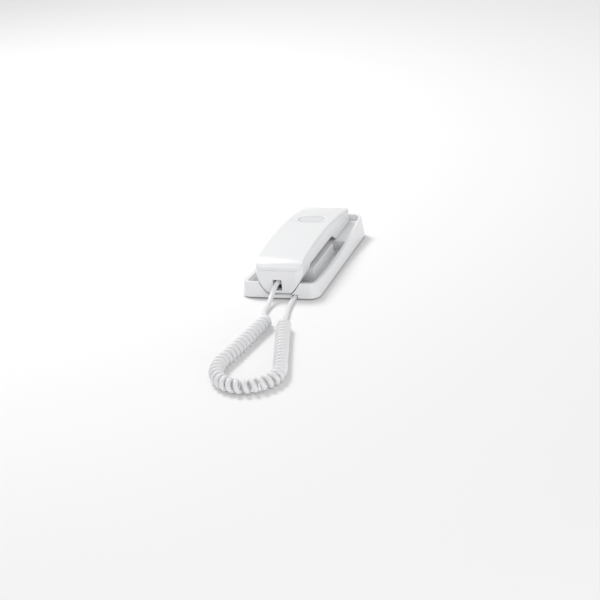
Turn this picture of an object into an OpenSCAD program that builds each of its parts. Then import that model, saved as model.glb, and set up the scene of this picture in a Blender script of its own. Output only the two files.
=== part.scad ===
/* [Base] */
// Width of the base at its foot
base_w = 94; // [84:1:120]
// Length of the base from mouth end to ear end
base_len = 218; // [208:1:264]
// Radius of the base's four upright corners
base_corner_r = 12; // [10:1:24]
// How far the outer wall leans in between foot and rim
base_lean = 3.5; // [1:0.5:5]
// Thickness of the base's walls, floors and cover
base_wall = 1.8; // [1.5:0.1:2.2]
// Width of the rim between its outer edge and the tray
rim_w = 2.6; // [1.8:0.2:4]
// Height of the rim at its lowest point
rim_low = 15.8; // [13:0.2:19]
// Height of the rim at the ear end
rim_ear = 29; // [24:1:34]
// Distance from the mouth end to the rim's lowest point
rim_low_at = 78; // [60:1:95]
// Height of the tray floor
tray_z = 8; // [7.6:0.2:9]
// Width of the raised island
island_w = 63; // [58:1:66]
// Height of the island's top
island_z = 24; // [20:0.5:25]
// Height of the ear pad's top
pad_z = 20; // [19:0.5:22]
// Distance from the mouth end to the island
island_from_mouth = 39; // [38:1:48]
// Length of the island
island_len = 83; // [78:1:90]
// Gap between the island and the ear pad
island_gap = 17; // [12:1:20]

/* [Handset] */
// Width of the handset
hs_w = 57; // [52:1:66]
// Set-back of the handset's mouth end from the base's end
hs_mouth_gap = 3; // [2:0.5:6]
// Set-back of the handset's ear end from the base's end
hs_ear_gap = 8; // [7:0.5:12]
// Radius of the handset's mouth-end corners in plan
hs_corner_r = 9; // [6:0.5:14]
// Radius of the handset's ear-end corners in plan
hs_ear_corner_r = 5; // [4:0.5:10]
// Wall thickness of the handset's shells
hs_wall = 2.2; // [1.6:0.1:2.6]
// Height of the crown of the handset's back
hs_crown_z = 49; // [47:0.5:54]
// Distance from the mouth end to the crown
hs_crown_at = 89; // [80:1:100]
// Height of the back's edge at the ear end
hs_ear_z = 37; // [34:0.2:41]
// Length of the extra dip of the back at the mouth end
hs_lip_len = 20; // [12:1:26]
// Depth of the extra dip of the back at the mouth end
hs_lip_drop = 5.8; // [2:0.2:7]
// Depth of the back shell, from its top down to the seam
seam_depth = 3.2; // [3:0.2:6]
// Height of the underside of the handset's middle
hs_mid_z = 30; // [29:0.5:31]
// Length of the mouth lobe along its root
mouth_len = 34; // [32:1:36]
// Height of the lowest point of the mouth lobe
mouth_z = 5.3; // [5.2:0.1:6]
// Width of the mouth lobe's tip
mouth_tip_w = 26; // [22:1:30]
// Gap between handset and base where they nest
nest_gap = 0.3; // [0.2:0.1:0.6]
// Gap around the mouth lobe in its notch
notch_gap = 0.8; // [0.5:0.1:1.2]

/* [Lamp] */
// Width of the call lamp's lens
lens_w = 30; // [24:1:38]
// Length of the call lamp's lens
lens_len = 28; // [22:1:34]
// Distance from the ear end to the middle of the lens
lens_from_ear = 76; // [60:1:84]
// Thickness of the lens
lens_t = 2.1; // [1.6:0.1:2.4]
// Gap around the lens
lens_gap = 1; // [0.3:0.1:1.2]

/* [Keys] */
// Width of a dial key
key_w = 12; // [10:0.5:13]
// Length of a dial key
key_len = 8.5; // [7:0.5:10]
// Spacing of the keys across the handset
key_pitch_x = 15.5; // [14.5:0.5:16]
// Spacing of the dial rows
key_pitch_y = 13.5; // [12.5:0.5:14]
// Width of a function key
fkey_w = 10; // [8:0.5:12]
// Length of a function key
fkey_len = 5.5; // [4.5:0.5:7]
// How far a key stands proud of the handset
key_proud = 2; // [1:0.2:2.6]
// Travel of a key
key_travel = 1.2; // [0.8:0.1:1.3]
// Gap around a key
key_gap = 0.35; // [0.25:0.05:0.6]

/* [Cord] */
// Diameter of the cord
cord_d = 5.6; // [4:0.2:6]
// Outer diameter of the coil
coil_d = 16; // [13:0.5:18]

/* [Parts inside] */
// Diameter of the receiver capsule
receiver_d = 32; // [28:1:36]
// Height of the feet
foot_h = 1.6; // [1.4:0.1:2]
// Spacing of the two wall keyholes
keyhole_pitch = 83; // [78:1:90]
// Diameter of a keyhole's round entry
keyhole_d = 8.5; // [7:0.5:10]
// Diameter of the screw shanks
screw_d = 2.8; // [2.4:0.2:3]
// Diameter of the hook plunger
plunger_d = 6; // [5:0.5:7]
// Travel of the hook plunger
plunger_travel = 3; // [2:0.5:4]
// Travel of the ringer switch each way
ringer_travel = 3; // [2:0.5:3.5]
// Running gap around the plunger and the ringer knob
run_gap = 0.2; // [0.15:0.05:0.4]

/* [Hidden] */

// Small overlap that keeps cuts clean
eps = 0.1;
// Smoothness of round parts, and of round corners that are hulled
fine = 64;
hull_fine = 32;

mouth_y = -base_len / 2;
ear_y = base_len / 2;

// Rim line: one large arc that is lowest at rim_low_at
rim_rise = rim_ear - rim_low;
rim_run = base_len - rim_low_at;
rim_r = (rim_run * rim_run + rim_rise * rim_rise) / (2 * rim_rise);

// Levels in the base
cover_top = foot_h + base_wall;
tray_under = tray_z - base_wall;
pad_under = pad_z - base_wall;
island_under = island_z - base_wall;
island_y0 = mouth_y + island_from_mouth;
island_y1 = island_y0 + island_len;
pad_y0 = island_y1 + island_gap;
tray_w = base_w - 2 * base_lean - 2 * rim_w;
tray_len = base_len - 2 * base_lean - 2 * rim_w;
tray_r = base_corner_r - base_lean - rim_w / 2;
// The tray's inner wall leans in a little below the rim
tray_lean = 1.2;
pad_room_r = max(0.5, tray_r - tray_lean - base_wall);

// Handset ends and key points of its side outline
hs_y0 = mouth_y + hs_mouth_gap;
hs_y1 = ear_y - hs_ear_gap;
hs_len = hs_y1 - hs_y0;
hs_mid_y = (hs_y0 + hs_y1) / 2;
hs_crown_y = mouth_y + hs_crown_at;
// The back is one large arc from its crown to the ear end
hs_ear_run = hs_y1 - hs_crown_y;
hs_back_r = hs_ear_run * hs_ear_run / (2 * (hs_crown_z - hs_ear_z));
hs_steps = 34;
ear_lobe_z = pad_z + nest_gap;
ear_slope = 16;
ear_slope_y = pad_y0 - 10;
ear_round = 6;
mouth_root_y = hs_y0 + mouth_len;
mouth_tip_y = mouth_root_y - 8;
// Outline of the mouth end from its tip out to the full width: share of the way out, height over the tip
mouth_flare = [[0, 0], [0.22, 3.3], [0.46, 8.1], [0.72, 13.9], [1, 22.2]];

// Cord jack in the handset
jack_x = -2;
jack_z = 18.5;
jack_w = 11.6;
jack_h = 11;
jack_len = 14;
recess_w = 10.5;
recess_z0 = 9.7;
recess_z1 = 22.5;
recess_depth = 9;
plug_w = 7.6;
plug_h = 6.6;
plug_len = 12;
plug_out = 2.4;
plug_gap = 0.15;

// Cord jack, channel and pocket in the base
base_jack_x = 19;
base_jack_y = island_y0 + 16;
base_jack_z = 7;
base_jack_h = 10.8;
channel_w = 6.6;
channel_top = 6;
pocket_w = 14;
pocket_len = 16;

// Line jack near the ear end, facing that end
line_jack_x = -22;
line_jack_y = ear_y - 32;
line_jack_z = 8.6;
line_jack_w = 14;
line_jack_h = 12;
line_jack_len = 15;
line_socket_w = 9.8;
line_socket_h = 6.8;

// Hook plunger, spring and switch under the ear pad
plunger_x = 13;
plunger_y = pad_y0 + 12;
plunger_flange_d = 9;
plunger_flange_t = 1.5;
plunger_flange_z = pad_under - plunger_travel - plunger_flange_t - 1;
hook_switch_h = 4.4;
hook_switch_w = 11;
spring_wire_d = 0.6;
spring_turns = 4;

// Ringer switch on the left wall
ringer_y = pad_y0 + 26;
ringer_z = 12;
ringer_knob_len = 5;
ringer_knob_h = 3.6;
ringer_body_w = 7;
ringer_proud = 1.2;
ringer_wall_x = -(tray_w / 2 - tray_lean - base_wall);

// Tab that holds the handset on a wall
tab_w = 10;
tab_t = 2.4;
tab_h = 11;
tab_over = 1.2;

// Sounder
sounder_d = 30;
sounder_h = 5;
sounder_x = 14;
sounder_y = ear_y - 38;

// Screws
head_d = 5.4;
head_h = 1.3;
boss_d = 7;
base_screw_len = 11;
base_screw_at = [[0, island_y0 + 7], [22, ear_y - 14], [-30, pad_y0 + 10]];
hs_screw_at = [[-19, mouth_root_y + 4], [19, mouth_root_y + 4], [-19, ear_slope_y - 8], [19, ear_slope_y - 8]];
hs_boss_z = hs_mid_z + 6;
hs_head_depth = 3;
hs_screw_len = 10;
foot_d = 12;
foot_at = [for (sx = [-1, 1], sy = [-1, 1]) [sx * (base_w / 2 - 12), sy * (base_len / 2 - 17)]];
keyhole_at = [[0, island_y0 + 28], [0, island_y0 + 28 + keyhole_pitch]];
keyhole_slot_w = 4.4;
keyhole_slot_len = 8;

// Boards and key positions, counted from the mouth lobe's root
key_face_z = hs_mid_z - key_proud;
key_flange = 0.9;
key_corner_r = 2;
key_flange_t = 0.8;
key_inner_z = hs_mid_z + hs_wall;
key_top_z = key_inner_z + key_flange_t + 0.4;
mat_z = key_top_z + key_travel + 0.2;
mat_t = 1;
board_t = 1.6;
hs_board_z = mat_z + mat_t;
fkey_y = mouth_root_y + 16;
key_row_y = [for (row = [0 : 3]) fkey_y + 15.5 + (3 - row) * key_pitch_y];
hs_board_y0 = mouth_root_y + 8.5;
hs_board_y1 = ear_slope_y - 12.5;
hs_board_w = hs_w - 2 * hs_wall - 2.6;
base_board_w = 46;
base_board_y0 = island_y0 + 12;
base_board_y1 = island_y1 - 4;
base_board_z = base_jack_z + base_jack_h / 2;
board_post_d = 4;
board_post_in = 3;
jack_shelf_w = 10;
jack_shelf_in = 2;
mat_ledge_in = 1.2;
weight_t = 4;

// Receiver
receiver_h = 8.5;
receiver_y = pad_y0 + 38;
gasket_t = 0.8;
ear_floor_z = ear_lobe_z + hs_wall;

// Microphone in the tip of the mouth lobe
mic_d = 6;
mic_h = 3;
mic_x = 5;
mic_y = hs_y0 + 13;
mic_floor_z = mouth_z + hs_wall;
boot_t = 0.9;

// Lens
lens_y = ear_y - lens_from_ear;
lens_seat_t = 1.3;
lens_sides = 60;
lamp_board_z = back_z(lens_y) - lens_t - lens_seat_t - 4;
lamp_board_w = 34;

// Cord routes. The handset lead starts at its plug and lands on the table in front of the base
coil_z = coil_d / 2 + 0.2;
lead_handset_path = [
    [jack_x, hs_y0 + recess_depth - plug_out, jack_z], [-2, -102, 18.5], [-2.5, -106, 18], [-3.5, -112, 15],
    [-4.5, -119, 10.5], [-4.5, -128, 6.8], [-4, -140, 4.2], [-3, -153, 3.6], [0, -164, 4.4], [5, -174, 6.2],
    [8, -180, 8.2]
];
coil_path = [
    [12, -183], [9, -200], [6, -225], [3, -252], [0, -276], [-3, -297], [-1, -318], [8, -336], [21, -347],
    [35, -351], [48, -348], [58, -340], [65, -328], [66, -311], [59, -286], [52, -261], [45, -237],
    [38, -212], [32, -187]
];
lead_base_path = [
    [31, -186, 8.2], [28, -176, 5.2], [25, -161, 3.4], [21, -140, 3], [19, -120, 3], [19, -100, 3],
    [19, -84, 3], [19, -74, 3], [19, -68, 3], [19, -64.4, 4.4], [19, -61.4, 6.1], [19, -58.8, 7],
    [19, base_jack_y - plug_out, base_jack_z]
];

// ---------- shared shapes ----------

// A flat plate outline with round corners
module rounded_rect(w, l, r) {
    square([w - 2 * r, l], center = true);
    square([w, l - 2 * r], center = true);
    for (sx = [-1, 1], sy = [-1, 1])
        translate([sx * (w / 2 - r), sy * (l / 2 - r)]) circle(r, $fn = fine);
}

// The same with one radius for the corners towards -Y and another for those towards +Y
module tapered_rect(w, l, near_r, far_r) {
    translate([-w / 2, -l / 2 + near_r]) square([w, l - near_r - far_r]);
    translate([-w / 2 + near_r, -l / 2]) square([w - 2 * near_r, l / 2]);
    translate([-w / 2 + far_r, 0]) square([w - 2 * far_r, l / 2]);
    for (sx = [-1, 1]) {
        translate([sx * (w / 2 - near_r), -l / 2 + near_r]) circle(near_r, $fn = fine);
        translate([sx * (w / 2 - far_r), l / 2 - far_r]) circle(far_r, $fn = fine);
    }
}

// An upright block whose plan shrinks by lean from z0 to z1
module leaning_block(w, l, r, lean, z0, z1) {
    hull() {
        translate([0, 0, z0]) linear_extrude(0.01)
            for (sx = [-1, 1], sy = [-1, 1])
                translate([sx * (w / 2 - r), sy * (l / 2 - r)]) circle(r, $fn = hull_fine * 2);
        translate([0, 0, z1]) linear_extrude(0.01)
            for (sx = [-1, 1], sy = [-1, 1])
                translate([sx * (w / 2 - r), sy * (l / 2 - r)]) circle(r - lean, $fn = hull_fine * 2);
    }
}

// A box given by its low and high corners
module box(lo, hi) {
    translate(lo) cube(hi - lo);
}

function ellipse(w, l, n) = [for (i = [0 : n - 1]) [w / 2 * cos(i * 360 / n), l / 2 * sin(i * 360 / n)]];

function unit(v) = v / norm(v);
function tangent(path, i) = unit(path[min(i + 1, len(path) - 1)] - path[max(i - 1, 0)]);
function ring(p, t, r, sides) =
    let (s = unit(cross(t, [0, 0, 1])), u = cross(s, t))
    [for (k = [0 : sides - 1]) p + r * (cos(k * 360 / sides) * s + sin(k * 360 / sides) * u)];

// A round tube that follows a list of points
module tube_along(path, r, sides) {
    last = len(path) - 1;
    points = [for (i = [0 : last]) each ring(path[i], tangent(path, i), r, sides)];
    near_cap = [[for (k = [0 : sides - 1]) sides - 1 - k]];
    far_cap = [[for (k = [0 : sides - 1]) last * sides + k]];
    walls = [for (i = [0 : last - 1], k = [0 : sides - 1])
        let (a = i * sides + k, b = i * sides + (k + 1) % sides)
        [a, b, b + sides, a + sides]];
    polyhedron(points = points, faces = concat(near_cap, walls, far_cap));
}

// ---------- handset outline ----------

// Height of the handset's back at a place along it
function back_z(y) =
    let (knee = hs_y0 + hs_lip_len)
    hs_crown_z - pow(y - hs_crown_y, 2) / (2 * hs_back_r)
    - (y < knee ? hs_lip_drop * pow((knee - y) / hs_lip_len, 2) : 0);

function back_line(inset, down) =
    [for (i = [0 : hs_steps])
        let (y = hs_y0 + inset + i * (hs_len - 2 * inset) / hs_steps) [y, back_z(y) - down]];

function turned(list) = [for (i = [len(list) - 1 : -1 : 0]) list[i]];

// Underside of the handset from the ear end back to the mouth end
function under_line(inset) = [
    [hs_y1 - inset, ear_lobe_z + inset + ear_round],
    [hs_y1 - inset - ear_round / 3, ear_lobe_z + inset + ear_round / 3],
    [hs_y1 - inset - ear_round, ear_lobe_z + inset],
    [ear_slope_y + ear_slope + inset, ear_lobe_z + inset],
    [ear_slope_y + inset, hs_mid_z + inset],
    [mouth_root_y - inset, hs_mid_z + inset],
    [mouth_tip_y - inset, mouth_z + inset + 2.5],
    [mouth_tip_y - inset - 3, mouth_z + inset],
    [hs_y0 + inset + 2, mouth_z + inset],
    [hs_y0 + inset, mouth_z + inset + 2]
];

// Extrudes a side outline across the handset
module across(w) {
    rotate([90, 0, 90]) translate([0, 0, -w / 2]) linear_extrude(w) children();
}

// Plan of the handset as an upright prism
module handset_plan(inset) {
    translate([0, hs_mid_y, 0]) linear_extrude(hs_crown_z + 10)
        tapered_rect(hs_w - 2 * inset, hs_len - 2 * inset, hs_corner_r - inset, hs_ear_corner_r - inset);
}

// The space between two depths under the back, inside the plan
module back_layer(upper, lower, inset) {
    intersection() {
        across(hs_w) polygon(concat(back_line(inset, upper), turned(back_line(inset, lower))));
        handset_plan(inset);
    }
}

// Outline of the flared mouth end, grown by a gap
function flare_side(grow) = [for (p = mouth_flare)
    [mouth_tip_w / 2 + p[0] * (hs_w - mouth_tip_w) / 2 + grow, mouth_z + p[1] - grow * 0.4]];

// What is cut away beside the mouth lobe so that it narrows to its tip
module flare_cut(inset) {
    side = flare_side(-inset);
    top = side[len(side) - 1];
    outline = concat(side, [[hs_w, top[1]], [hs_w, -eps], [side[0][0], -eps]]);
    for (m = [0, 1]) mirror([m, 0, 0])
        translate([0, mouth_root_y + eps, 0]) rotate([90, 0, 0])
            linear_extrude(mouth_len + 2 * eps) polygon(outline);
}

// The whole handset body, set in by a wall, up to a depth under its back
module handset_body(inset, depth) {
    difference() {
        intersection() {
            across(hs_w) polygon(concat(back_line(inset, depth), under_line(inset)));
            handset_plan(inset);
        }
        flare_cut(inset);
    }
}

// ---------- base ----------

module tray(extra) {
    leaning_block(tray_w + 2 * extra - 2 * tray_lean, tray_len + 2 * extra - 2 * tray_lean,
        tray_r + extra - tray_lean, -tray_lean, tray_z, rim_ear + eps);
}

module keyhole() {
    cylinder(d = keyhole_d, h = 4 * base_wall, center = true, $fn = fine);
    translate([-keyhole_slot_w / 2, 0, -2 * base_wall]) cube([keyhole_slot_w, keyhole_slot_len, 4 * base_wall]);
    translate([0, keyhole_slot_len, 0])
        cylinder(d = keyhole_slot_w, h = 4 * base_wall, center = true, $fn = fine);
}

// Space for the mouth lobe in the tray floor and the end wall
module mouth_notch() {
    side = flare_side(notch_gap);
    low = mouth_z - nest_gap;
    right = concat([[side[0][0], low]], [for (i = [1 : len(side) - 1]) side[i]]);
    left = [for (p = turned(right)) [-p[0], p[1]]];
    top = hs_mid_z + 10;
    outline = concat(right, [[right[len(right) - 1][0], top], [left[0][0], top]], left);
    translate([0, mouth_root_y - 2, 0]) rotate([90, 0, 0])
        linear_extrude(mouth_len + hs_mouth_gap) polygon(outline);
}

module base_shell() {
    color("white") difference() {
        union() {
            difference() {
                leaning_block(base_w, base_len, base_corner_r, base_lean, foot_h, rim_ear);
                translate([0, mouth_y + rim_low_at, rim_low + rim_r]) rotate([0, 90, 0])
                    cylinder(r = rim_r, h = base_w + 2, center = true, $fn = 720);
                tray(0);
            }
            box([-island_w / 2, island_y0, tray_under], [island_w / 2, island_y1, island_z]);
            intersection() {
                tray(eps);
                box([-base_w, pad_y0, tray_under], [base_w, ear_y, pad_z]);
            }
        }
        mouth_notch();
        // Seat of the cover, and the shallow space over it
        translate([0, 0, foot_h - eps]) linear_extrude(cover_top - foot_h + eps)
            rounded_rect(base_w - 2 * base_wall, base_len - 2 * base_wall, base_corner_r - base_wall);
        translate([0, (mouth_tip_y + pad_y0) / 2 + 6, cover_top - eps])
            linear_extrude(tray_under - cover_top + eps) rounded_rect(tray_w - 8, pad_y0 - mouth_tip_y, 6);
        // Spaces under the island and the ear pad
        box([-island_w / 2 + base_wall, island_y0 + base_wall, cover_top - eps],
            [island_w / 2 - base_wall, island_y1 - base_wall, island_under]);
        intersection() {
            box([-base_w, pad_y0 + base_wall, cover_top - eps], [base_w, ear_y, pad_under]);
            translate([0, 0, cover_top - eps]) linear_extrude(pad_under)
                rounded_rect(tray_w - 2 * tray_lean - 2 * base_wall, tray_len - 2 * tray_lean - 2 * base_wall,
                    pad_room_r);
        }
        // Bore of the hook plunger
        translate([plunger_x, plunger_y, pad_under - 1])
            cylinder(d = plunger_d + 2 * run_gap, h = 2 * base_wall, $fn = fine);
        // Slot of the ringer knob through the left wall
        slot_half_y = ringer_knob_len / 2 + ringer_travel + run_gap;
        slot_half_z = ringer_knob_h / 2 + run_gap;
        box([-base_w, ringer_y - slot_half_y, ringer_z - slot_half_z],
            [ringer_wall_x + eps, ringer_y + slot_half_y, ringer_z + slot_half_z]);
        // Slot of the hang tab in the end face of the ear pad
        box([-tab_w / 2, pad_y0 - eps, pad_z - tab_h + tab_over], [tab_w / 2, pad_y0 + tab_t, pad_z + eps]);
        // Cord channels in the foot of both end walls
        box([base_jack_x - channel_w / 2, mouth_y - eps, 0],
            [base_jack_x + channel_w / 2, island_y0, channel_top]);
        box([line_jack_x - channel_w / 2, line_jack_y, 0],
            [line_jack_x + channel_w / 2, ear_y + eps, channel_top]);
    }
    // Posts that hold the board down, and the shelf over the line jack
    post_z = base_board_z + board_t;
    color("white") for (sx = [-1, 1], y = [base_board_y0 + board_post_in, base_board_y1 - board_post_in])
        translate([sx * (base_board_w / 2 - board_post_in), y, post_z])
            cylinder(d = board_post_d, h = island_under - post_z + eps, $fn = fine);
    shelf_z = line_jack_z + line_jack_h / 2;
    color("white") box([line_jack_x - jack_shelf_w / 2, line_jack_y - line_jack_len + jack_shelf_in, shelf_z],
        [line_jack_x + jack_shelf_w / 2, line_jack_y - jack_shelf_in, pad_under + eps]);
    // Bosses that the cover's screws bite into
    color("white") for (p = base_screw_at) translate([p[0], p[1], cover_top]) difference() {
        cylinder(d = boss_d, h = (p[1] < island_y1 ? island_under : pad_under) - cover_top + eps, $fn = fine);
        translate([0, 0, -eps]) cylinder(d = screw_d, h = base_screw_len - base_wall + 1, $fn = fine);
    }
}

module base_cover() {
    color("whitesmoke") difference() {
        translate([0, 0, foot_h]) linear_extrude(base_wall)
            rounded_rect(base_w - 2 * base_wall - 2 * run_gap, base_len - 2 * base_wall - 2 * run_gap,
                base_corner_r - base_wall - run_gap);
        for (p = base_screw_at) translate([p[0], p[1], foot_h - 1])
            cylinder(d = screw_d + 2 * run_gap, h = base_wall + 2, $fn = fine);
        for (p = keyhole_at) translate([p[0], p[1], foot_h]) keyhole();
        // Channel and plug pocket of the handset cord
        box([base_jack_x - channel_w / 2, mouth_y, 0],
            [base_jack_x + channel_w / 2, base_jack_y, cover_top + 1]);
        box([base_jack_x - pocket_w / 2, base_jack_y - pocket_len, 0],
            [base_jack_x + pocket_w / 2, base_jack_y + jack_len, cover_top + 1]);
        // Channel and plug pocket of the line cord
        box([line_jack_x - channel_w / 2, line_jack_y, 0], [line_jack_x + channel_w / 2, ear_y, cover_top + 1]);
        box([line_jack_x - pocket_w / 2 - 1, line_jack_y - line_jack_len, 0],
            [line_jack_x + pocket_w / 2 + 1, line_jack_y + pocket_len, cover_top + 1]);
        // Sound slots under the sounder
        for (i = [-2 : 2]) translate([sounder_x + i * 4.5, sounder_y, foot_h - 1]) linear_extrude(base_wall + 2)
            rounded_rect(2, 16, 0.9);
    }
}

module base_feet() {
    color("dimgray") for (p = foot_at) translate([p[0], p[1], 0]) rotate_extrude($fn = fine)
        polygon([[0, 0], [foot_d / 2 - 0.5, 0], [foot_d / 2, 0.5], [foot_d / 2, foot_h], [0, foot_h]]);
}

// A pan-head screw, head down, shank up
module screw(shank_len) {
    difference() {
        rotate_extrude($fn = fine) polygon([
            [0, -head_h], [head_d / 2 - 0.5, -head_h], [head_d / 2, -head_h + 0.5], [head_d / 2, 0],
            [screw_d / 2, 0], [screw_d / 2, shank_len - 1.2], [0.3, shank_len], [0, shank_len]]);
        for (a = [0, 90]) rotate([0, 0, a]) translate([-1.6, -0.3, -head_h - eps]) cube([3.2, 0.6, 0.8]);
    }
}

module base_screws() {
    color("silver") for (p = base_screw_at) translate([p[0], p[1], foot_h]) screw(base_screw_len);
}

module base_board() {
    z = base_board_z + board_t;
    y = base_board_y0;
    color("darkgreen") box([-base_board_w / 2, y, base_board_z], [base_board_w / 2, base_board_y1, z]);
    color("black") box([-8, y + 14, z - eps], [4, y + 24, z + 2]);
    color("dimgray") box([-20, y + 32, z - eps], [-6, y + 46, z + 2.6]);
    for (i = [0 : 2]) color("navy") translate([14, y + 14 + i * 10, z - eps])
        cylinder(d = 6, h = 2.8, $fn = fine);
}

module base_weight() {
    color("gray") translate([0, (keyhole_at[0][1] + island_y1) / 2 + 4, cover_top]) linear_extrude(weight_t)
        rounded_rect(38, island_y1 - keyhole_at[0][1] - 20, 2);
}

// A modular jack: a block with a socket whose mouth faces -Y
module jack(w, h, l, socket_w, socket_h, socket_len) {
    difference() {
        translate([-w / 2, 0, -h / 2]) cube([w, l, h]);
        translate([-socket_w / 2, -eps, -socket_h / 2]) cube([socket_w, socket_len + eps, socket_h]);
        translate([-socket_w / 4, -eps, -socket_h / 2 - 1.4]) cube([socket_w / 2, socket_len * 0.7, 1.4 + eps]);
    }
}

// A modular plug: body, latch and the raised hold of its cord, with its nose towards +Y
module plug() {
    translate([-plug_w / 2, 0, -plug_h / 2]) cube([plug_w, plug_len, plug_h]);
    translate([-1.5, 0.5, -plug_h / 2 - 0.9]) cube([3, plug_len * 0.6, 1]);
}

module base_cord_jack() {
    color("dimgray") translate([base_jack_x, base_jack_y, base_jack_z])
        jack(jack_w, base_jack_h, jack_len, plug_w + 2 * plug_gap, plug_h + 2 * plug_gap, plug_len - plug_out);
}

module base_plug() {
    color("lightgray") translate([base_jack_x, base_jack_y - plug_out, base_jack_z]) plug();
}

module line_jack() {
    color("dimgray") translate([line_jack_x, line_jack_y, line_jack_z]) rotate([0, 0, 180])
        jack(line_jack_w, line_jack_h, line_jack_len, line_socket_w, line_socket_h, 12);
}

module sounder() {
    color("black") translate([sounder_x, sounder_y, cover_top]) rotate_extrude($fn = fine)
        polygon([[0, 0.8], [sounder_d / 2 - 3, 0.8], [sounder_d / 2 - 3, 0], [sounder_d / 2, 0],
            [sounder_d / 2, sounder_h], [sounder_d / 2 - 6, sounder_h],
            [sounder_d / 2 - 6, sounder_h + 2.4], [0, sounder_h + 2.4]]);
}

module ringer_switch() {
    color("dimgray") translate([ringer_wall_x + 0.1, ringer_y - 8, ringer_z - 2.8]) difference() {
        cube([ringer_body_w, 16, 5.6]);
        translate([-eps, 8 - ringer_knob_len / 2 - ringer_travel, 2.8 - ringer_knob_h / 2 - run_gap])
            cube([3, ringer_knob_len + 2 * ringer_travel, ringer_knob_h + 2 * run_gap]);
    }
}

module ringer_knob() {
    outer = -(base_w / 2 - base_lean * (ringer_z - foot_h) / (rim_ear - foot_h)) - ringer_proud;
    color("lightgray") difference() {
        box([outer, ringer_y - ringer_knob_len / 2 + run_gap, ringer_z - ringer_knob_h / 2],
            [ringer_wall_x + 2, ringer_y + ringer_knob_len / 2 - run_gap, ringer_z + ringer_knob_h / 2]);
        for (i = [-1 : 1]) translate([outer, ringer_y + i * 1.3, ringer_z]) rotate([0, 0, 45])
            cube([0.6, 0.6, ringer_knob_h + 1], center = true);
    }
}

module hook_plunger() {
    top = ear_lobe_z - 0.15;
    color("whitesmoke") translate([plunger_x, plunger_y, 0]) rotate_extrude($fn = fine) polygon([
        [0, plunger_flange_z - 2], [1.6, plunger_flange_z - 2], [1.6, plunger_flange_z],
        [plunger_flange_d / 2, plunger_flange_z], [plunger_flange_d / 2, plunger_flange_z + plunger_flange_t],
        [plunger_d / 2, plunger_flange_z + plunger_flange_t], [plunger_d / 2, top - 0.8],
        [plunger_d / 2 - 0.8, top], [0, top]]);
}

module hook_spring() {
    z0 = cover_top + hook_switch_h + spring_wire_d / 2 + 0.05;
    z1 = plunger_flange_z - spring_wire_d / 2 - 0.05;
    n = spring_turns * 10;
    r = 2.6;
    turns = [for (i = [0 : n])
        [plunger_x + r * cos(i * 36), plunger_y + r * sin(i * 36), z0 + (z1 - z0) * i / n]];
    color("silver") tube_along(turns, spring_wire_d / 2, 6);
}

module hook_switch() {
    color("black") translate([plunger_x, plunger_y, cover_top]) difference() {
        translate([-hook_switch_w / 2, -5, 0]) cube([hook_switch_w, 10, hook_switch_h]);
        translate([0, 0, hook_switch_h - 0.6]) cylinder(d = 3.6, h = 1, $fn = fine);
    }
}

module hang_tab() {
    color("whitesmoke") box([-tab_w / 2 + run_gap, pad_y0 + 0.1, pad_z - tab_h + tab_over + 0.05],
        [tab_w / 2 - run_gap, pad_y0 + tab_t - run_gap, pad_z + tab_over]);
}

// ---------- handset ----------

module lens_prism(grow) {
    translate([0, lens_y, 0]) linear_extrude(hs_crown_z + 10)
        polygon(ellipse(lens_w + 2 * grow, lens_len + 2 * grow, lens_sides));
}

module handset_back() {
    color("white") difference() {
        union() {
            difference() {
                back_layer(0, seam_depth, 0);
                back_layer(hs_wall, seam_depth + 1, hs_wall);
                // Fine step that shows as the seam line
                difference() {
                    back_layer(seam_depth - 0.5, seam_depth + 1, -eps);
                    handset_plan(0.5);
                }
            }
            intersection() {
                back_layer(hs_wall - eps, lens_t + lens_seat_t, hs_wall - eps);
                lens_prism(lens_gap + 2);
            }
            // Posts that hold the lamp's board
            for (sx = [-1, 1]) translate([sx * (lamp_board_w / 2 - 2.5), lens_y, lamp_board_z])
                cylinder(d = 3.4, h = back_z(lens_y) - lens_t - lamp_board_z - 0.4, $fn = fine);
            // Posts that the handset's screws bite into
            intersection() {
                for (p = hs_screw_at) translate([p[0], p[1], hs_boss_z])
                    cylinder(d = boss_d, h = hs_crown_z - hs_boss_z, $fn = fine);
                across(hs_w) polygon(concat(back_line(0, hs_wall - eps), [[hs_y1, 0], [hs_y0, 0]]));
            }
        }
        intersection() {
            back_layer(-1, lens_t, 0);
            lens_prism(lens_gap);
        }
        lens_prism(-4);
        for (p = hs_screw_at) translate([p[0], p[1], hs_boss_z - eps])
            cylinder(d = screw_d, h = hs_screw_len - 3 + 1.5, $fn = fine);
    }
}

module lamp_lens() {
    color("gainsboro") intersection() {
        back_layer(0.05, lens_t, 0);
        lens_prism(0);
    }
}

module lamp_board() {
    z = lamp_board_z;
    color("darkgreen") box([-lamp_board_w / 2, lens_y - 5, z - board_t], [lamp_board_w / 2, lens_y + 5, z]);
    color("lightyellow") for (sx = [-1, 1]) translate([sx * 6, lens_y, z - eps]) rotate_extrude($fn = fine)
        polygon([[0, 0], [1.5, 0], [1.5, 1.2], [1.1, 1.9], [0, 2.2]]);
}

module key_hole(x, y, w, l) {
    translate([x, y, hs_mid_z - 1]) linear_extrude(hs_wall + 2)
        rounded_rect(w + 2 * key_gap, l + 2 * key_gap, key_corner_r + key_gap);
}

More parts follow.
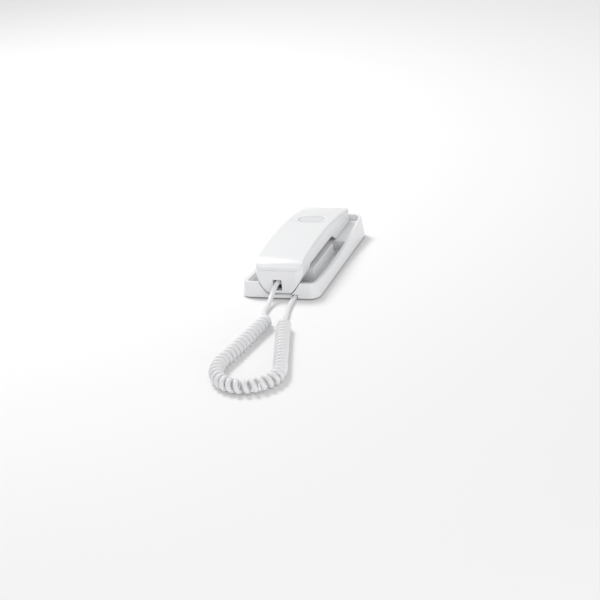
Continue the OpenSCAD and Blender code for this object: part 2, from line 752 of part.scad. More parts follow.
module handset_front() {
    color("white") difference() {
        union() {
            difference() {
                handset_body(0, seam_depth);
                handset_body(hs_wall, seam_depth - 1);
            }
            // Ledges under the edges of the key mat
            for (m = [0, 1]) mirror([m, 0, 0])
                box([hs_board_w / 2 - mat_ledge_in, hs_board_y0, hs_mid_z + 1],
                    [hs_w / 2 - 1, hs_board_y1, mat_z]);
            // Screw bosses
            for (p = hs_screw_at) translate([p[0], p[1], hs_mid_z])
                cylinder(d = boss_d + 2, h = hs_boss_z - hs_mid_z, $fn = fine);
            // Walls around the cord recess
            intersection() {
                box([jack_x - recess_w / 2 - 1.6, hs_y0, recess_z0 - 1.6],
                    [jack_x + recess_w / 2 + 1.6, hs_y0 + recess_depth, recess_z1 + 1.6]);
                handset_body(0, seam_depth);
            }
        }
        box([jack_x - recess_w / 2, hs_y0 - 5, recess_z0],
            [jack_x + recess_w / 2, hs_y0 + recess_depth + eps, recess_z1]);
        for (p = hs_screw_at) translate([p[0], p[1], hs_mid_z - eps]) {
            cylinder(d = head_d + 2 * run_gap, h = hs_head_depth + eps, $fn = fine);
            cylinder(d = screw_d + 2 * run_gap, h = hs_boss_z, $fn = fine);
        }
        for (row = [0 : 3], col = [-1 : 1]) key_hole(col * key_pitch_x, key_row_y[row], key_w, key_len);
        for (col = [-1 : 1]) key_hole(col * key_pitch_x, fkey_y, fkey_w, fkey_len);
        // Shallow ear cup with its sound holes
        translate([0, receiver_y, ear_lobe_z]) rotate_extrude($fn = fine)
            polygon([[0, -1], [receiver_d / 2 - 2, -1], [receiver_d / 2 - 2, 0],
                [receiver_d / 2 - 8, 0.9], [0, 0.9]]);
        translate([0, receiver_y, ear_lobe_z - 1]) cylinder(d = 2, h = hs_wall + 2, $fn = fine);
        for (a = [0 : 60 : 300]) rotate_about(0, receiver_y, a) translate([5, receiver_y, ear_lobe_z - 1])
            cylinder(d = 2, h = hs_wall + 2, $fn = fine);
        translate([mic_x, mic_y, mouth_z - 1]) cylinder(d = 1.6, h = hs_wall + 2, $fn = fine);
    }
}

// Turns its child about an upright line through [x, y]
module rotate_about(x, y, angle) {
    translate([x, y, 0]) rotate([0, 0, angle]) translate([-x, -y, 0]) children();
}

module handset_screws() {
    color("silver") for (p = hs_screw_at) translate([p[0], p[1], hs_mid_z + hs_head_depth]) screw(hs_screw_len);
}

module handset_board() {
    z = hs_board_z + board_t;
    color("darkgreen") box([-hs_board_w / 2, hs_board_y0, hs_board_z], [hs_board_w / 2, hs_board_y1, z]);
    color("black") box([-6, hs_board_y0 + 40, z - eps], [4, hs_board_y0 + 50, z + 1.4]);
}

module key_mat() {
    color("gray") difference() {
        box([-hs_board_w / 2, hs_board_y0, mat_z], [hs_board_w / 2, hs_board_y1, mat_z + mat_t]);
        translate([0, fkey_y + 8, mat_z - 1]) cylinder(d = 2.5, h = mat_t + 2, $fn = fine);
    }
}

module handset_weight() {
    color("gray") translate([0, hs_board_y0 + 24, hs_board_z + board_t])
        linear_extrude(weight_t) rounded_rect(34, 30, 2);
}

module receiver() {
    color("black") translate([0, receiver_y, ear_floor_z + gasket_t]) rotate_extrude($fn = fine)
        polygon([[0, 0.6], [receiver_d / 2 - 5, 0.6], [receiver_d / 2 - 5, 0], [receiver_d / 2, 0],
            [receiver_d / 2, 3], [receiver_d / 2 - 4, 4], [receiver_d / 2 - 6, receiver_h], [0, receiver_h]]);
}

module receiver_gasket() {
    color("dimgray") translate([0, receiver_y, ear_floor_z]) difference() {
        cylinder(d = receiver_d, h = gasket_t, $fn = fine);
        translate([0, 0, -eps]) cylinder(d = receiver_d - 10, h = gasket_t + 2 * eps, $fn = fine);
    }
}

module microphone() {
    color("silver") translate([mic_x, mic_y, mic_floor_z + boot_t]) cylinder(d = mic_d, h = mic_h, $fn = fine);
}

module microphone_boot() {
    color("black") translate([mic_x, mic_y, mic_floor_z]) difference() {
        cylinder(d = mic_d + 2 * boot_t, h = mic_h + boot_t, $fn = fine);
        translate([0, 0, boot_t]) cylinder(d = mic_d, h = mic_h + eps, $fn = fine);
        translate([0, 0, -eps]) cylinder(d = 2, h = boot_t + 2 * eps, $fn = fine);
    }
}

module handset_jack() {
    color("dimgray") translate([jack_x, hs_y0 + recess_depth, jack_z])
        jack(jack_w, jack_h, jack_len, plug_w + 2 * plug_gap, plug_h + 2 * plug_gap, plug_len - plug_out);
}

module handset_plug() {
    color("lightgray") translate([jack_x, hs_y0 + recess_depth - plug_out, jack_z]) plug();
}

// A key with its flange inside the shell; its face looks down
module key(x, y, w, l) {
    color("gainsboro") translate([x, y, 0]) {
        translate([0, 0, key_face_z]) linear_extrude(key_top_z - key_face_z) rounded_rect(w, l, key_corner_r);
        translate([0, 0, key_inner_z + 0.1]) linear_extrude(key_flange_t)
            rounded_rect(w + 2 * key_flange, l + 2 * key_flange, key_corner_r + key_flange);
    }
}

// Dial key by row from the ear end and column from the left, as seen from below
module dial_key(row, col) {
    key((1 - col) * key_pitch_x, key_row_y[row], key_w, key_len);
}

module function_key(col) {
    key((1 - col) * key_pitch_x, fkey_y, fkey_w, fkey_len);
}

module key_1() { dial_key(0, 0); }
module key_2() { dial_key(0, 1); }
module key_3() { dial_key(0, 2); }
module key_4() { dial_key(1, 0); }
module key_5() { dial_key(1, 1); }
module key_6() { dial_key(1, 2); }
module key_7() { dial_key(2, 0); }
module key_8() { dial_key(2, 1); }
module key_9() { dial_key(2, 2); }
module key_star() { dial_key(3, 0); }
module key_0() { dial_key(3, 1); }
module key_hash() { dial_key(3, 2); }
module key_redial() { function_key(0); }
module key_mute() { function_key(1); }
module key_flash() { function_key(2); }

// ---------- cord ----------

module cord_lead_handset() {
    color("white") tube_along(lead_handset_path, cord_d / 2, 8);
}

module cord_coil() {
    color("white") tube_along([for (p = coil_path) [p[0], p[1], coil_z]], coil_d / 2, 12);
}

module cord_lead_base() {
    color("white") tube_along(lead_base_path, cord_d / 2, 8);
}

base_shell();
base_cover();
base_feet();
base_screws();
base_board();
base_weight();
base_cord_jack();
line_jack();
sounder();
ringer_switch();
ringer_knob();
hook_plunger();
hook_spring();
hook_switch();
hang_tab();
handset_back();
handset_front();
handset_screws();
handset_board();
handset_weight();
lamp_lens();
lamp_board();
receiver();
receiver_gasket();
microphone();
microphone_boot();
handset_jack();
key_mat();
key_1();
key_2();
key_3();
key_4();
key_5();
key_6();
key_7();
key_8();
key_9();
key_star();
key_0();
key_hash();
key_redial();
key_mute();
key_flash();
handset_plug();
base_plug();
cord_lead_handset();
cord_coil();
cord_lead_base();
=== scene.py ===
import math

import bmesh
import bpy
from mathutils import Matrix, Quaternion, Vector


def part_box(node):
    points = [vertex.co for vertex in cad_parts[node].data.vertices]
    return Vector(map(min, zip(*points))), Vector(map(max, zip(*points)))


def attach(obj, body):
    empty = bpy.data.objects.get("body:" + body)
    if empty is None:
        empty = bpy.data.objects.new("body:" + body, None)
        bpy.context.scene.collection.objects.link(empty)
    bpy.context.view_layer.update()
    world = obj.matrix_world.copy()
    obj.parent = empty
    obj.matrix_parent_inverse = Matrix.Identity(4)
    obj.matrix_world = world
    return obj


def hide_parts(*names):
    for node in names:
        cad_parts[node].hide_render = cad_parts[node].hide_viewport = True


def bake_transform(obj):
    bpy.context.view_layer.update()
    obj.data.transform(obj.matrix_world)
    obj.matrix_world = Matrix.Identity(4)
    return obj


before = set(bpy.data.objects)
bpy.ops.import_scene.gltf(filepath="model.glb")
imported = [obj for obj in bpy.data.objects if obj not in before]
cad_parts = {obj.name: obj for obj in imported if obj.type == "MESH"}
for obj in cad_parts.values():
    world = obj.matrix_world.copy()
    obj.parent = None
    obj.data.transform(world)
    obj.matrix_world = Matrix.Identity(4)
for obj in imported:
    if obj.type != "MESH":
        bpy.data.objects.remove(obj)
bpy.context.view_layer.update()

# ---------------------------------------------------------------- the camera
# A long lens looks down at the phone from its mouth end, a little from its right side.
CAMERA_PLACE = Vector((0.569, -1.6746, 0.6823))
CAMERA_AIM = Vector((0.0226, -0.1023, -0.0027))
CAMERA_ROLL = math.radians(-5.385)
LENS = 93.8
SENSOR = 36

camera = bpy.data.objects.new("camera", bpy.data.cameras.new("camera"))
bpy.context.scene.collection.objects.link(camera)
camera.data.lens = LENS
camera.data.sensor_width = SENSOR
camera.location = CAMERA_PLACE
look = (CAMERA_AIM - CAMERA_PLACE).to_track_quat("-Z", "Y")
camera.rotation_euler = (look @ Quaternion((0, 0, 1), CAMERA_ROLL)).to_euler()
bpy.context.scene.camera = camera


# ---------------------------------------------------------------- the handset cord
# One curly cord of four thin wires in a soft white jacket, wound to a spring and set by heat. Its two straight leads
# run to modular plugs. The half that starts at the base goes with the base, and the half at the handset is left where
# it lies.
CORD_D = 0.0056
COIL_D = 0.016
COIL_Z = 0.0082
WIND_R = (COIL_D - CORD_D) / 2
TURN_LENGTH = 0.0080
TURN_POINTS = 20
LEAD_STEP = 0.0025
GATHER = 0.008
PARTED_Y = -0.297
HANDSET_SIDE_X = 0.02


def skin(name, colour, rough, speck=0.03, grain=900, bump=0.02, coat=0.0, spec=0.5, subsurface=0.0):
    """A moulded plastic or rubber skin: a faint cloudiness in its colour, uneven gloss and a very fine grain."""
    made = bpy.data.materials.new(name)
    made.use_nodes = True
    nodes, links = made.node_tree.nodes, made.node_tree.links
    shader = nodes["Principled BSDF"]
    place = nodes.new("ShaderNodeTexCoord")
    cloud = nodes.new("ShaderNodeTexNoise")
    cloud.inputs["Scale"].default_value = 18
    cloud.inputs["Detail"].default_value = 3
    tint = nodes.new("ShaderNodeMapRange")
    tint.inputs["To Min"].default_value = 1 - speck
    tint.inputs["To Max"].default_value = 1
    paint = nodes.new("ShaderNodeMix")
    paint.data_type = "RGBA"
    paint.blend_type = "MULTIPLY"
    paint.inputs["Factor"].default_value = 1
    paint.inputs["A"].default_value = (*colour, 1)
    wear = nodes.new("ShaderNodeTexNoise")
    wear.inputs["Scale"].default_value = 55
    wear.inputs["Detail"].default_value = 5
    gloss = nodes.new("ShaderNodeMapRange")
    gloss.inputs["From Min"].default_value = 0.3
    gloss.inputs["From Max"].default_value = 0.7
    gloss.inputs["To Min"].default_value = rough * 0.88
    gloss.inputs["To Max"].default_value = min(1, rough * 1.14)
    fine = nodes.new("ShaderNodeTexNoise")
    fine.inputs["Scale"].default_value = grain
    fine.inputs["Detail"].default_value = 2
    relief = nodes.new("ShaderNodeBump")
    relief.inputs["Strength"].default_value = bump
    relief.inputs["Distance"].default_value = 0.0002
    for noise in (cloud, wear, fine):
        links.new(place.outputs["Object"], noise.inputs["Vector"])
    links.new(cloud.outputs["Fac"], tint.inputs["Value"])
    links.new(tint.outputs["Result"], paint.inputs["B"])
    links.new(paint.outputs["Result"], shader.inputs["Base Color"])
    links.new(wear.outputs["Fac"], gloss.inputs["Value"])
    links.new(gloss.outputs["Result"], shader.inputs["Roughness"])
    links.new(fine.outputs["Fac"], relief.inputs["Height"])
    links.new(relief.outputs["Normal"], shader.inputs["Normal"])
    shader.inputs["Coat Weight"].default_value = coat
    shader.inputs["Coat Roughness"].default_value = 0.12
    shader.inputs["Specular IOR Level"].default_value = spec
    shader.inputs["Subsurface Weight"].default_value = subsurface
    shader.inputs["Subsurface Radius"].default_value = (0.004, 0.0035, 0.003)
    shader.inputs["Subsurface Scale"].default_value = 0.4
    return made


def through(points, step):
    """A smooth line through the given points, with points about a step apart."""
    line = []
    for i in range(len(points) - 1):
        a, b = Vector(points[i]), Vector(points[i + 1])
        before = Vector(points[i - 1]) if i else 2 * a - b
        after = Vector(points[i + 2]) if i + 2 < len(points) else 2 * b - a
        pieces = max(1, round((b - a).length / step))
        for k in range(pieces):
            t = k / pieces
            line.append(0.5 * (2 * a + (b - before) * t + (2 * before - 5 * a + 4 * b - after) * t ** 2
                               + (3 * a - before - 3 * b + after) * t ** 3))
    return line + [Vector(points[-1])]


LEAD_TO_HANDSET = [(-0.002, -0.0994, 0.0185), (-0.002, -0.102, 0.0185), (-0.0025, -0.106, 0.018),
                   (-0.0035, -0.112, 0.015), (-0.0045, -0.119, 0.0105), (-0.0045, -0.128, 0.0068),
                   (-0.004, -0.140, 0.0042), (-0.003, -0.153, 0.0036), (0, -0.164, 0.0044),
                   (0.005, -0.174, 0.0062), (0.008, -0.180, 0.0082)]
COIL_ROUTE = [(0.012, -0.183), (0.009, -0.200), (0.006, -0.225), (0.003, -0.252), (0, -0.276),
              (-0.003, -0.297), (-0.001, -0.318), (0.008, -0.336), (0.021, -0.347), (0.035, -0.351),
              (0.048, -0.348), (0.058, -0.340), (0.065, -0.328), (0.066, -0.311), (0.059, -0.286),
              (0.052, -0.261), (0.045, -0.237), (0.038, -0.212), (0.032, -0.187)]
LEAD_TO_BASE = [(0.031, -0.186, 0.0082), (0.028, -0.176, 0.0052), (0.025, -0.161, 0.0034),
                (0.021, -0.140, 0.003), (0.019, -0.120, 0.003), (0.019, -0.100, 0.003),
                (0.019, -0.084, 0.003), (0.019, -0.074, 0.003), (0.019, -0.068, 0.003),
                (0.019, -0.0644, 0.0044), (0.019, -0.0614, 0.0061), (0.019, -0.0588, 0.007),
                (0.019, -0.0564, 0.007)]


def wind(route):
    """Winds the cord right-handed round a level line, gathered in to the line over its first and last millimetres."""
    points = through([(x, y, COIL_Z) for x, y in route], TURN_LENGTH / TURN_POINTS)
    total = sum((b - a).length for a, b in zip(points, points[1:]))
    along, made = 0, []
    for i, place in enumerate(points):
        if i:
            along += (place - points[i - 1]).length
        ahead = (points[min(i + 1, len(points) - 1)] - points[max(i - 1, 0)]).normalized()
        left = Vector((-ahead.y, ahead.x, 0))
        edge = min(along, total - along) / GATHER
        r = WIND_R * (1 if edge >= 1 else edge * edge * (3 - 2 * edge))
        turn = math.tau * along / TURN_LENGTH
        made.append(place + r * (math.cos(turn) * left + math.sin(turn) * Vector((0, 0, 1))))
    return made


whole_cord = through(LEAD_TO_HANDSET, LEAD_STEP) + wind(COIL_ROUTE) + through(LEAD_TO_BASE, LEAD_STEP)


def tube(name, line, d, sides=12):
    """A closed round tube along a line. Each ring turns as little as it can from the one before."""
    bm = bmesh.new()
    ahead = (line[1] - line[0]).normalized()
    side = ahead.orthogonal().normalized()
    rings = []
    for i, place in enumerate(line):
        new = (line[min(i + 1, len(line) - 1)] - line[max(i - 1, 0)]).normalized()
        side = ahead.rotation_difference(new) @ side
        side = (side - side.dot(new) * new).normalized()
        ahead = new
        up = ahead.cross(side)
        turns = [math.tau * k / sides for k in range(sides)]
        rings.append([bm.verts.new(place + d / 2 * (math.cos(turn) * side + math.sin(turn) * up)) for turn in turns])
    for a, b in zip(rings, rings[1:]):
        for k in range(sides):
            bm.faces.new((a[k], a[(k + 1) % sides], b[(k + 1) % sides], b[k]))
    bm.faces.new(rings[0][::-1])
    bm.faces.new(rings[-1])
    mesh = bpy.data.meshes.new(name)
    bm.normal_update()
    bm.to_mesh(mesh)
    bm.free()
    made = bpy.data.objects.new(name, mesh)
    bpy.context.scene.collection.objects.link(made)
    mesh.shade_smooth()
    return made


handset_side = [i for i, place in enumerate(whole_cord) if place.x < HANDSET_SIDE_X]
split = min(handset_side, key=lambda i: abs(whole_cord[i].y - PARTED_Y))
cord_skin = skin("cord jacket", (0.86, 0.86, 0.87), 0.38, grain=1500, subsurface=0.15)

stretching = tube("cord_handset_half", whole_cord[:split + 1], CORD_D)
stretching.data.materials.append(cord_skin)
resting = tube("cord_base_half", whole_cord[split:], CORD_D)
resting.data.materials.append(cord_skin)

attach(resting, "base")
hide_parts("cord_coil", "cord_lead_base")
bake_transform(stretching)
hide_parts("cord_lead_handset")


# ---------------------------------------------------------------- the base
# One injection-moulded ABS shell: a low outer wall with a bright rim, a tray, a raised island and the ear pad, all of
# one wall thickness. The mould leaves every edge with a small radius.
SHELL_EDGE = 0.0006
WELD = 0.00005
shell_white = skin("glossy white ABS", (0.87, 0.875, 0.885), 0.24, speck=0.015, bump=0.012, coat=0.25,
                   subsurface=0.08)


def only(piece):
    bpy.ops.object.select_all(action="DESELECT")
    piece.select_set(True)
    bpy.context.view_layer.objects.active = piece


def merged_copy(name, node):
    """A free copy of a CAD node, its loose triangles joined and its flat faces made whole."""
    piece = bpy.data.objects.new(name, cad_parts[node].data.copy())
    bpy.context.scene.collection.objects.link(piece)
    piece.data.materials.clear()
    only(piece)
    bpy.ops.object.mode_set(mode="EDIT")
    bpy.ops.mesh.select_all(action="SELECT")
    bpy.ops.mesh.remove_doubles(threshold=WELD)
    bpy.ops.mesh.dissolve_limited(angle_limit=math.radians(0.5))
    bpy.ops.object.mode_set(mode="OBJECT")
    return piece


def round_edges(piece, width, segments=2, angle=32, flats=True):
    """Rounds every edge sharper than the angle, and gives the flats their shading back."""
    only(piece)
    edge = piece.modifiers.new("edges", "BEVEL")
    edge.width = width
    edge.segments = segments
    edge.limit_method = "ANGLE"
    edge.angle_limit = math.radians(angle)
    edge.use_clamp_overlap = False
    edge.miter_outer = "MITER_ARC"
    bpy.ops.object.modifier_apply(modifier=edge.name)
    bpy.ops.object.shade_smooth_by_angle(angle=math.radians(40))
    if flats:
        even = piece.modifiers.new("even", "WEIGHTED_NORMAL")
        even.keep_sharp = True
        bpy.ops.object.modifier_apply(modifier=even.name)


def settle(piece, body, slot, *nodes):
    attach(piece, body)
    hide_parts(*nodes)


base_body = merged_copy("base_body", "base_shell")
round_edges(base_body, SHELL_EDGE)
base_body.data.materials.append(shell_white)
settle(base_body, "base", "white_shell", "base_shell")


# ---------------------------------------------------------------- the base's cover, feet and hang tab
# A flat moulded cover closes the base from below. It is spark-textured ABS with plain-edged slots and keyholes.
# Three screws hold it, four rubber feet are stuck in its corners, and the hang tab drops into its slot.
COVER_EDGE = 0.0003
cover_white = skin("textured off-white ABS", (0.72, 0.725, 0.74), 0.5, speck=0.03, grain=2600, bump=0.12)
foot_rubber = skin("dark foot rubber", (0.035, 0.035, 0.037), 0.75, speck=0.2, grain=2200, bump=0.25, spec=0.3)

underside = merged_copy("underside_cover", "base_cover")
round_edges(underside, COVER_EDGE)
underside.data.materials.append(cover_white)
settle(underside, "base", "cover_plastic", "base_cover")

tab = merged_copy("hang_tab_block", "hang_tab")
round_edges(tab, COVER_EDGE)
tab.data.materials.append(cover_white)
settle(tab, "base", "cover_plastic", "hang_tab")

feet = merged_copy("rubber_feet", "base_feet")
round_edges(feet, COVER_EDGE, segments=3)
feet.data.materials.append(foot_rubber)
settle(feet, "base", "foot_rubber", "base_feet")


# ---------------------------------------------------------------- the screws
# Pan-head self-tapping screws, cold-formed from wire and zinc plated. Three hold the cover and four hold the handset.
SCREW_EDGE = 0.00015


def metal(name, colour, rough, streak=(60, 60, 60), dent=0.05, speck=0.15):
    """Plated or bare metal: its gloss and its tone change along fine streaks left by the tool."""
    made = bpy.data.materials.new(name)
    made.use_nodes = True
    nodes, links = made.node_tree.nodes, made.node_tree.links
    shader = nodes["Principled BSDF"]
    shader.inputs["Metallic"].default_value = 1
    place = nodes.new("ShaderNodeTexCoord")
    turn = nodes.new("ShaderNodeMapping")
    turn.inputs["Scale"].default_value = streak
    noise = nodes.new("ShaderNodeTexNoise")
    noise.inputs["Scale"].default_value = 12
    noise.inputs["Detail"].default_value = 6
    tone = nodes.new("ShaderNodeMix")
    tone.data_type = "RGBA"
    tone.inputs["A"].default_value = (*[c * (1 - speck) for c in colour], 1)
    tone.inputs["B"].default_value = (*colour, 1)
    gloss = nodes.new("ShaderNodeMapRange")
    gloss.inputs["To Min"].default_value = rough * 0.7
    gloss.inputs["To Max"].default_value = rough * 1.3
    relief = nodes.new("ShaderNodeBump")
    relief.inputs["Strength"].default_value = dent
    relief.inputs["Distance"].default_value = 0.0001
    links.new(place.outputs["Object"], turn.inputs["Vector"])
    links.new(turn.outputs["Vector"], noise.inputs["Vector"])
    links.new(noise.outputs["Fac"], tone.inputs["Factor"])
    links.new(tone.outputs["Result"], shader.inputs["Base Color"])
    links.new(noise.outputs["Fac"], gloss.inputs["Value"])
    links.new(gloss.outputs["Result"], shader.inputs["Roughness"])
    links.new(noise.outputs["Fac"], relief.inputs["Height"])
    links.new(relief.outputs["Normal"], shader.inputs["Normal"])
    return made


zinc = metal("zinc-plated screw", (0.62, 0.63, 0.65), 0.32)
for name, node, body in (("cover_screws", "base_screws", "base"), ("front_screws", "handset_screws", "handset")):
    screws = merged_copy(name, node)
    round_edges(screws, SCREW_EDGE)
    screws.data.materials.append(zinc)
    settle(screws, body, "screw_steel", node)


# ---------------------------------------------------------------- the works in the base
# A printed board on posts, a pressed steel weight, a piezo sounder, the two modular jacks, the ringer switch and the
# hook switch with its coil spring and plunger. All of it is bought in, and clipped or pressed into the shell.
SMALL_EDGE = 0.0002


def laminate(name, mask):
    """A green solder-masked board: fine straight tracks show through the lacquer as slightly lighter lines."""
    made = skin(name, mask, 0.35, speck=0.25, grain=1200, coat=0.3)
    nodes, links = made.node_tree.nodes, made.node_tree.links
    shader = nodes["Principled BSDF"]
    place = next(n for n in nodes if n.type == "TEX_COORD")
    paint = next(n for n in nodes if n.type == "MIX")
    tracks = nodes.new("ShaderNodeTexBrick")
    tracks.inputs["Scale"].default_value = 260
    tracks.inputs["Mortar Size"].default_value = 0.012
    tracks.inputs["Color1"].default_value = (*mask, 1)
    tracks.inputs["Color2"].default_value = (*[c * 0.85 for c in mask], 1)
    tracks.inputs["Mortar"].default_value = (*[min(1, c * 1.9) for c in mask], 1)
    links.new(place.outputs["Object"], tracks.inputs["Vector"])
    links.new(tracks.outputs["Color"], paint.inputs["A"])
    links.new(paint.outputs["Result"], shader.inputs["Base Color"])
    return made


def finish_node(material, *nodes):
    """Gives CAD nodes a finish of their own."""
    for node in nodes:
        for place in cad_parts[node].material_slots:
            place.material = material


board_green = laminate("green board", (0.02, 0.16, 0.07))
jack_grey = skin("grey jack nylon", (0.05, 0.05, 0.053), 0.45, speck=0.1, bump=0.05)
case_black = skin("black capsule plastic", (0.012, 0.012, 0.014), 0.4, speck=0.2, bump=0.05)
ballast = metal("pressed steel weight", (0.42, 0.43, 0.44), 0.45, streak=(200, 12, 60), dent=0.15)
spring_wire = metal("drawn spring wire", (0.6, 0.61, 0.63), 0.25)
knob_grey = skin("satin key plastic", (0.66, 0.675, 0.70), 0.35, speck=0.02, bump=0.03)
finish_node(board_green, "base_board", "handset_board", "lamp_board")
finish_node(ballast, "base_weight", "handset_weight")
WORKS = [("cord_socket_base", "base_cord_jack", "base", "jack_plastic", jack_grey),
         ("cord_socket_handset", "handset_jack", "handset", "jack_plastic", jack_grey),
         ("line_socket_block", "line_jack", "base", "jack_plastic", jack_grey),
         ("sounder_case", "sounder", "base", "capsule_plastic", case_black),
         ("ringer_slider_case", "ringer_switch", "base", "jack_plastic", jack_grey),
         ("ringer_slider", "ringer_knob", "ringer", "key_plastic", knob_grey),
         ("hook_button", "hook_plunger", "plunger", "cover_plastic", cover_white),
         ("hook_switch_case", "hook_switch", "base", "capsule_plastic", case_black)]
for name, node, body, slot, finish in WORKS:
    piece = merged_copy(name, node)
    round_edges(piece, SMALL_EDGE)
    piece.data.materials.append(finish)
    settle(piece, body, slot, node)

# The spring's ends sit a hair inside its seats, so that it touches neither.
SPRING_D = 0.0006
SPRING_TURNS = 4
SPRING_STEPS = 32
SEAT_GAP = 0.0001
spring_low, spring_high = (Vector(corner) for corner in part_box("hook_spring"))
spring_mid = (spring_low + spring_high) / 2
spring_r = (spring_high.x - spring_low.x - SPRING_D) / 2
spring_foot = spring_low.z + SPRING_D / 2 + SEAT_GAP
spring_rise = spring_high.z - spring_low.z - SPRING_D - 2 * SEAT_GAP
coil_line = []
for step in range(SPRING_STEPS * SPRING_TURNS + 1):
    turn = step / SPRING_STEPS
    coil_line.append(Vector((spring_mid.x + spring_r * math.cos(math.tau * turn),
                             spring_mid.y + spring_r * math.sin(math.tau * turn),
                             spring_foot + spring_rise * turn / SPRING_TURNS)))
spring = tube("plunger_spring", coil_line, SPRING_D, sides=10)
spring.data.materials.append(spring_wire)
settle(spring, "base", "spring_steel", "hook_spring")


# ---------------------------------------------------------------- the handset's shells
# Two ABS mouldings that meet at a fine seam: the crowned back, whose rim rolls over softly, and the front with the
# mouth lobe, the ear lobe and the key openings. Four screws from the front hold them together.
LIP_ROLL = 0.0012
SEAM_EDGE = 0.00025
FRONT_EDGE = 0.0005
OUTER_X = 0.0193
OUTER_Y = 0.097
END_SHARE = 0.3

crown = merged_copy("handset_crown", "handset_back")
low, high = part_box("handset_back")
middle_y = (low[1] + high[1]) / 2
faces_at = {}
for face in crown.data.polygons:
    for key in face.edge_keys:
        faces_at.setdefault(key, []).append(face)


def on_the_lip(edge):
    """True where the crowned top meets the outer side, and not the lens's hole or the inner wall."""
    touching = faces_at[tuple(sorted(edge.vertices))]
    if len(touching) != 2:
        return False
    side, top = sorted(touching, key=lambda face: face.normal.z)
    outward = Vector((side.center.x, (side.center.y - middle_y) * END_SHARE, 0))
    outer = abs(side.center.x) > OUTER_X or abs(side.center.y - middle_y) > OUTER_Y
    return top.normal.z > 0.6 and abs(side.normal.z) < 0.1 and side.normal.dot(outward) > 0 and outer


for part in (crown.data.vertices, crown.data.edges, crown.data.polygons):
    part.foreach_set("select", [False] * len(part))
for edge in crown.data.edges:
    edge.select = on_the_lip(edge)
only(crown)
bpy.ops.object.mode_set(mode="EDIT")
bpy.ops.mesh.select_mode(type="EDGE")
bpy.ops.mesh.bevel(offset=LIP_ROLL, segments=6, profile=0.5, affect="EDGES", clamp_overlap=False)
bpy.ops.object.mode_set(mode="OBJECT")
round_edges(crown, SEAM_EDGE, angle=40, flats=False)
crown.data.materials.append(shell_white)
settle(crown, "handset", "white_shell", "handset_back")

front = merged_copy("handset_face", "handset_front")
round_edges(front, FRONT_EDGE)
front.data.materials.append(shell_white)
settle(front, "handset", "white_shell", "handset_front")


# ---------------------------------------------------------------- the call lamp
# An oval lens of milky polished acrylic lies flush in the crown and lights up when the phone rings. Two small lamps on
# a narrow board shine up into it.
LENS_EDGE = 0.0004
lens_milk = skin("milky lens acrylic", (0.80, 0.81, 0.84), 0.12, speck=0.01, bump=0.004, coat=0.5, subsurface=0.2)
lens = merged_copy("call_lens", "lamp_lens")
round_edges(lens, LENS_EDGE, segments=3)
lens.data.materials.append(lens_milk)
settle(lens, "handset", "lens_plastic", "lamp_lens")


# ---------------------------------------------------------------- the receiver, the microphone and their rubbers
# The receiver is a sealed moving-coil capsule on a foam-rubber ring. The microphone is an electret in a drawn
# aluminium can, pushed into a rubber boot.
can_metal = metal("drawn aluminium can", (0.75, 0.76, 0.77), 0.3)
ring_rubber = skin("black ring rubber", (0.03, 0.03, 0.03), 0.8, speck=0.2, grain=1500, bump=0.3, spec=0.3)
for name, node, slot, finish in (("receiver_capsule", "receiver", "capsule_plastic", case_black),
                                 ("receiver_ring", "receiver_gasket", "foot_rubber", ring_rubber),
                                 ("microphone_can", "microphone", "capsule_metal", can_metal),
                                 ("microphone_sleeve", "microphone_boot", "foot_rubber", ring_rubber)):
    piece = merged_copy(name, node)
    round_edges(piece, SMALL_EDGE)
    piece.data.materials.append(finish)
    settle(piece, "handset", slot, node)


# ---------------------------------------------------------------- the keys and their mat
# Fifteen satin ABS keys hang by their flanges in the front shell, over one silicone mat with a carbon pill under each.
# Their digits are printed in grey, and the three short keys carry a ring, a bar and a dot.
KEY_EDGE = 0.0005
PRINT_H = 0.0001
DIGIT_SIZE = 0.0052
RING_R = 0.0011
RING_WIDTH = 0.00056
BAR_SIZE = (0.0034, 0.0007)
DOT_R = 0.0008
print_ink = skin("grey printing ink", (0.10, 0.11, 0.12), 0.55, speck=0.1, grain=1800, bump=0.03)
mat_silicone = skin("grey key silicone", (0.42, 0.43, 0.45), 0.6, speck=0.06, grain=1300, bump=0.08, subsurface=0.2)
finish_node(mat_silicone, "key_mat")
DIGITS = {"key_1": "1", "key_2": "2", "key_3": "3", "key_4": "4", "key_5": "5", "key_6": "6", "key_7": "7",
          "key_8": "8", "key_9": "9", "key_star": "*", "key_0": "0", "key_hash": "#"}
SIGNS = {"key_redial": "ring", "key_mute": "bar", "key_flash": "dot"}


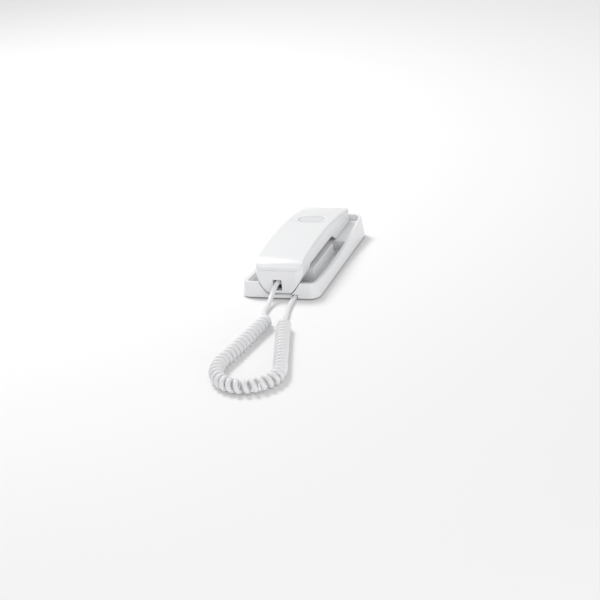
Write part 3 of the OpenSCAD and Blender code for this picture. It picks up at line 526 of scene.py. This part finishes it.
def flat_print(node, middle, face_z):
    """A thin printed digit or sign, which reads from below with the ear end up."""
    if node in DIGITS:
        bpy.ops.object.text_add(location=(0, 0, 0))
        mark = bpy.context.object
        mark.data.body = DIGITS[node]
        mark.data.size = DIGIT_SIZE
        mark.data.align_x = "CENTER"
        mark.data.align_y = "CENTER"
        mark.data.extrude = PRINT_H
        mark.data.resolution_u = 4
        bpy.ops.object.convert(target="MESH")
        mark = bpy.context.object
        only(mark)
        if DIGITS[node] == "*":
            xs = [v.co.x for v in mark.data.vertices]
            ys = [v.co.y for v in mark.data.vertices]
            mark.location = (-(min(xs) + max(xs)) / 2, -(min(ys) + max(ys)) / 2, 0)
            bpy.ops.object.transform_apply(location=True, rotation=True, scale=True)
    else:
        sign = SIGNS[node]
        if sign == "ring":
            bpy.ops.mesh.primitive_torus_add(major_radius=RING_R, minor_radius=RING_WIDTH / 2, major_segments=32,
                                             minor_segments=8)
        elif sign == "bar":
            bpy.ops.mesh.primitive_cube_add(size=1, scale=(*BAR_SIZE, 2 * PRINT_H))
        else:
            bpy.ops.mesh.primitive_cylinder_add(radius=DOT_R, depth=2 * PRINT_H, vertices=32)
        mark = bpy.context.object
        only(mark)
        bpy.ops.object.transform_apply(location=True, rotation=True, scale=True)
        if sign == "ring":
            mark.data.transform(Matrix.Diagonal((1, 1, 2 * PRINT_H / RING_WIDTH, 1)))
    mark.data.transform(Matrix.Translation((middle[0], middle[1], face_z)) @ Matrix.Rotation(math.pi, 4, "Y"))
    mark.data.materials.clear()
    return mark


for node in [*DIGITS, *SIGNS]:
    low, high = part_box(node)
    cap = merged_copy(node.replace("key_", "keycap_"), node)
    round_edges(cap, KEY_EDGE, segments=3)
    cap.data.materials.append(knob_grey)
    mark = flat_print(node, ((low[0] + high[0]) / 2, (low[1] + high[1]) / 2), low[2])
    mark.data.materials.append(print_ink)
    only(cap)
    mark.select_set(True)
    bpy.ops.object.join()
    settle(cap, node, "key_plastic", node)


# ---------------------------------------------------------------- the cord's plugs
# Each lead ends in a clear polycarbonate modular plug with a springy latch, crimped on the cord.
plug_clear = skin("cloudy clear polycarbonate", (0.72, 0.76, 0.80), 0.15, bump=0.01, coat=0.4, subsurface=0.3)
for name, node, body in (("handset_lead_plug", "handset_plug", "handset"), ("base_lead_plug", "base_plug", "base")):
    piece = merged_copy(name, node)
    round_edges(piece, SMALL_EDGE)
    piece.data.materials.append(plug_clear)
    settle(piece, body, "plug_plastic", node)


# ---------------------------------------------------------------- the room
# A pale table top under a soft lamp from the upper left, with a wide even sky and a faint card of light in front.
TABLE_SIZE = 6
SKY_STRENGTH = 0.64
bpy.ops.mesh.primitive_plane_add(size=TABLE_SIZE, location=(0, 0, 0))
table = bpy.context.object
table.name = "table_top"
white = bpy.data.materials.new("table white")
white.use_nodes = True
paper = white.node_tree.nodes["Principled BSDF"]
paper.inputs["Base Color"].default_value = (0.93, 0.93, 0.935, 1)
paper.inputs["Roughness"].default_value = 0.7
table.data.materials.append(white)
sky = bpy.data.worlds.new("studio")
sky.use_nodes = True
sky.node_tree.nodes["Background"].inputs["Color"].default_value = (1, 1, 1, 1)
sky.node_tree.nodes["Background"].inputs["Strength"].default_value = SKY_STRENGTH
bpy.context.scene.world = sky
bpy.context.scene.view_settings.view_transform = "Standard"


def lamp(name, place, aim, size, power):
    made = bpy.data.objects.new(name, bpy.data.lights.new(name, "AREA"))
    bpy.context.scene.collection.objects.link(made)
    made.data.size = size
    made.data.energy = power
    made.location = place
    made.rotation_euler = (Vector(aim) - Vector(place)).to_track_quat("-Z", "Y").to_euler()


lamp("key softbox", (-0.9, 0.6, 1.6), (0, -0.1, 0), 0.6, 19)
lamp("low front card", (0.9, -1.3, 0.2), (0, -0.1, 0.03), 0.6, 4)
